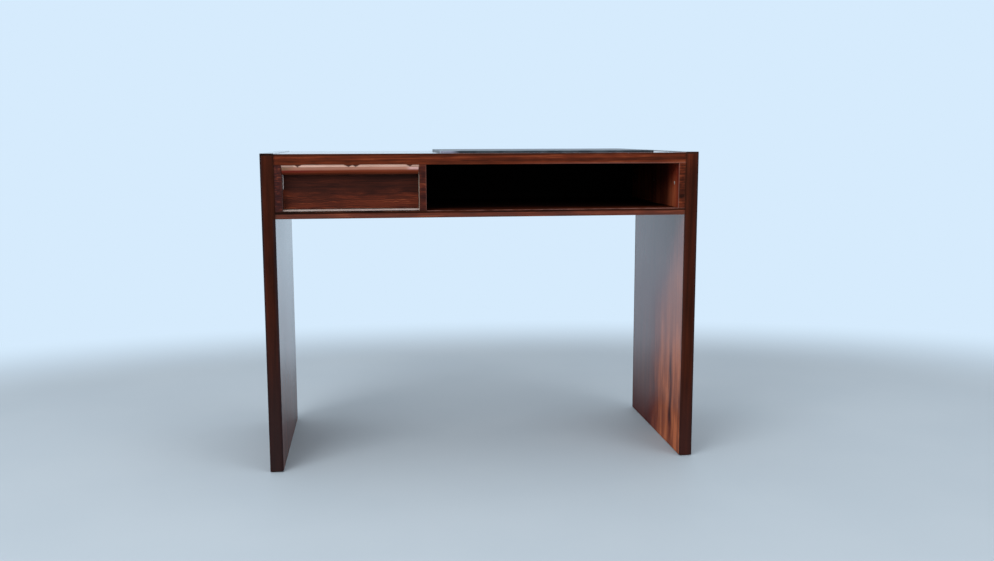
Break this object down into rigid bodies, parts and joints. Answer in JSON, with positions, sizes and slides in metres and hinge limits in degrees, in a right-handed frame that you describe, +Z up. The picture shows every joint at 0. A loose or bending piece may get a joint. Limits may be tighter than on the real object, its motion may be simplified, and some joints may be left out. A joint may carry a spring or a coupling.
{
  "type": "writing desk",
  "caption": "Small rosewood writing desk on two slab ends, with a dovetailed drawer under a round pull lip, an open bay beside it and a leather writing pad on the top.",
  "frame": {"origin": "on the floor, in the middle of the desk's plan", "axes": "+X to the right seen from the front, +Y to the rear, +Z up"},
  "size_m": [1, 0.45, 0.7335],
  "materials": {
    "rosewood_veneer": "figured rosewood veneer under a thin satin lacquer",
    "rosewood_solid": "solid dark rosewood, oiled and rubbed, with eased edges",
    "pale_beech": "plain pale beech, waxed",
    "drawer_plywood": "thin birch plywood, clear lacquer",
    "pad_leather": "smooth blue-black leather over a thin board",
    "screw_steel": "slotted steel, slightly dulled",
    "glide_nylon": "dark brown nylon"
  },
  "bodies": {
    "carcass": {"left_slab": "rosewood_veneer", "left_front_lipping": "rosewood_solid", "left_rear_lipping": "rosewood_solid", "left_top_lipping": "rosewood_solid", "right_slab": "rosewood_veneer", "right_front_lipping": "rosewood_solid", "right_rear_lipping": "rosewood_solid", "right_top_lipping": "rosewood_solid", "floor_glides": "glide_nylon", "top_panel": "rosewood_veneer", "top_front_lipping": "rosewood_solid", "top_rear_lipping": "rosewood_solid", "writing_pad": "pad_leather", "bottom_panel": "rosewood_veneer", "bottom_front_lipping": "rosewood_solid", "bottom_rear_lipping": "rosewood_solid", "left_side_panel": "rosewood_veneer", "right_side_panel": "rosewood_veneer", "divider_panel": "rosewood_veneer", "left_side_lipping": "rosewood_solid", "divider_lipping": "rosewood_solid", "right_side_lipping": "rosewood_solid", "back_panel": "rosewood_veneer", "top_dowels": "pale_beech", "bottom_dowels": "pale_beech", "divider_dowels": "pale_beech", "side_screws": "screw_steel", "kicker_rail": "pale_beech", "kicker_screws": "screw_steel", "front_bearer": "pale_beech", "left_runner": "pale_beech", "right_runner": "pale_beech", "left_guide": "pale_beech", "right_guide": "pale_beech", "drawer_stops": "pale_beech"},
    "drawer": {"drawer_front": "rosewood_veneer", "drawer_lip": "rosewood_solid", "drawer_left_side": "pale_beech", "drawer_right_side": "pale_beech", "drawer_back": "pale_beech", "drawer_bottom": "drawer_plywood", "drawer_bottom_screws": "screw_steel"}
  },
  "joints": [
    {"name": "drawer_slide", "type": "slide", "parent": "carcass", "child": "drawer", "axis": [0, -1, 0], "range_m": [0, 0.28]}
  ]
}
